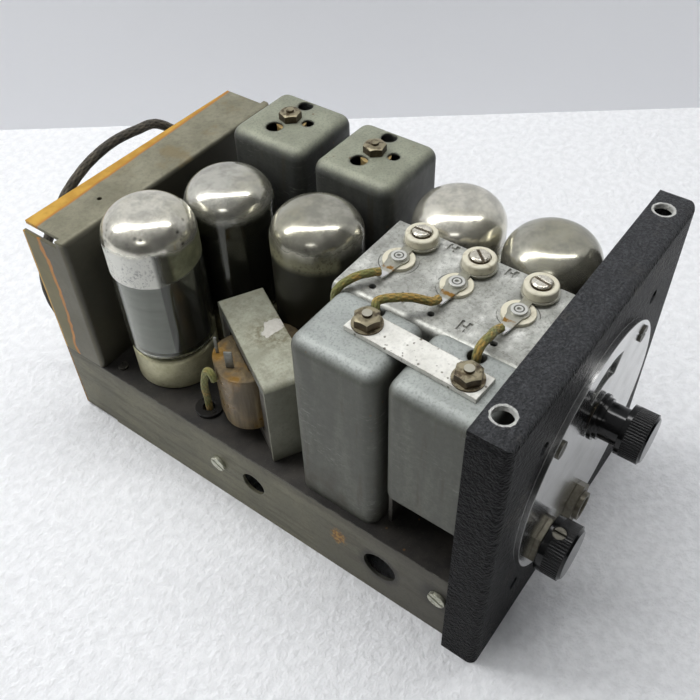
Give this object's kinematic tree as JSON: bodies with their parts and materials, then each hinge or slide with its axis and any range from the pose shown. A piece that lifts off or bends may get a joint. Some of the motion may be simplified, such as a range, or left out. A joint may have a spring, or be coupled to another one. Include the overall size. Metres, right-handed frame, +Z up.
{
  "type": "radio receiver",
  "caption": "Small open-chassis valve radio receiver with front panel, tuning and volume knobs, phone jack, glass valves, shielded coil cans, ganged tuning capacitor and output transformer",
  "frame": {"origin": "middle of the footprint without the rear cord, on the surface the chassis stands on", "axes": "+Z up, front panel faces -Y, +X to the right seen from the front"},
  "size_m": [0.1016, 0.2075, 0.1016],
  "materials": {
    "chassis_steel": "olive-grey plated sheet, dull and stained",
    "pan_steel": "olive-grey sheet with orange varnish at its edges",
    "panel_black": "black wrinkle enamel",
    "plate_aluminium": "brushed bare plate",
    "screw_steel": "dull plated fixings",
    "pane": "clear pane",
    "brass": "tarnished brass",
    "bulb_glass": "clear bulb with silvery getter at the dome",
    "base_shell": "cream-olive aged shell",
    "electrode": "dark carbonised anode",
    "socket_plastic": "brown moulded socket",
    "can_zinc": "blue-grey zinc, mottled",
    "winding": "waxed winding on a tube",
    "strap_metal": "off-white plated strip",
    "gang_metal": "scratched sheet",
    "ceramic": "cream unglazed ceramic",
    "dial_black": "matt black dial",
    "knob_plastic": "gloss black moulding",
    "bracket_paint": "pale grey-green paint",
    "core_iron": "stacked laminations",
    "kraft_paper": "brown varnished paper",
    "lead_fabric": "yellow-green fabric sleeve",
    "strip_board": "brown laminated board",
    "component_body": "moulded body",
    "wax_paper": "waxed paper tube",
    "cord_braid": "dark braided cord"
  },
  "bodies": {
    "receiver": {"chassis": "chassis_steel", "rear_pan": "pan_steel", "front_panel": "panel_black", "escutcheon": "plate_aluminium", "escutcheon_screws": "screw_steel", "dial_window": "pane", "tuning_bushing": "brass", "valve_glass_1": "bulb_glass", "valve_glass_2": "bulb_glass", "valve_glass_3": "bulb_glass", "valve_glass_4": "bulb_glass", "valve_glass_5": "bulb_glass", "valve_base_1": "base_shell", "valve_base_2": "base_shell", "valve_base_3": "base_shell", "valve_base_4": "base_shell", "valve_base_5": "base_shell", "valve_electrodes": "electrode", "valve_sockets": "socket_plastic", "socket_contacts": "brass", "if_can_1": "can_zinc", "if_can_2": "can_zinc", "if_coils": "winding", "if_nuts": "brass", "coil_can_rear": "can_zinc", "coil_can_front": "can_zinc", "coil_formers": "winding", "can_bracket": "gang_metal", "can_strap": "strap_metal", "can_nuts": "brass", "gang_frame": "gang_metal", "gang_stators": "gang_metal", "stator_insulators": "ceramic", "stator_lugs": "gang_metal", "trimmer_bodies": "ceramic", "transformer_frame": "bracket_paint", "transformer_core": "core_iron", "transformer_coil": "kraft_paper", "transformer_leads": "lead_fabric", "volume_control": "socket_plastic", "volume_nut": "brass", "phone_jack": "brass", "phone_jack_nut": "brass", "can_leads": "lead_fabric", "small_fixings": "screw_steel", "tie_strips": "strip_board", "resistors": "component_body", "paper_capacitors": "wax_paper", "rear_cord": "cord_braid"},
    "tuning": {"gang_rotor": "gang_metal", "tuning_shaft": "brass", "dial_disc": "dial_black", "tuning_knob": "knob_plastic", "tuning_setscrew": "brass"},
    "volume": {"volume_shaft": "brass", "volume_knob": "knob_plastic", "volume_setscrew": "brass"},
    "trimmer_1": {"trimmer_screw_1": "brass"},
    "trimmer_2": {"trimmer_screw_2": "brass"},
    "trimmer_3": {"trimmer_screw_3": "brass"}
  },
  "joints": [
    {"name": "tuning_turn", "type": "hinge", "parent": "receiver", "child": "tuning", "pos_m": [-0.00002, -0.07541, 0.0646], "axis": [0, 1, 0], "range_deg": [0, 180]},
    {"name": "volume_turn", "type": "hinge", "parent": "receiver", "child": "volume", "pos_m": [-0.02142, -0.07541, 0.032], "axis": [0, 1, 0], "range_deg": [-150, 150]},
    {"name": "trimmer_1_turn", "type": "hinge", "parent": "receiver", "child": "trimmer_1", "pos_m": [0.00808, -0.05258, 0.092], "axis": [0, 0, 1], "continuous": true},
    {"name": "trimmer_2_turn", "type": "hinge", "parent": "receiver", "child": "trimmer_2", "pos_m": [0.00808, -0.03411, 0.092], "axis": [0, 0, 1], "continuous": true},
    {"name": "trimmer_3_turn", "type": "hinge", "parent": "receiver", "child": "trimmer_3", "pos_m": [0.00808, -0.01564, 0.092], "axis": [0, 0, 1], "continuous": true}
  ]
}
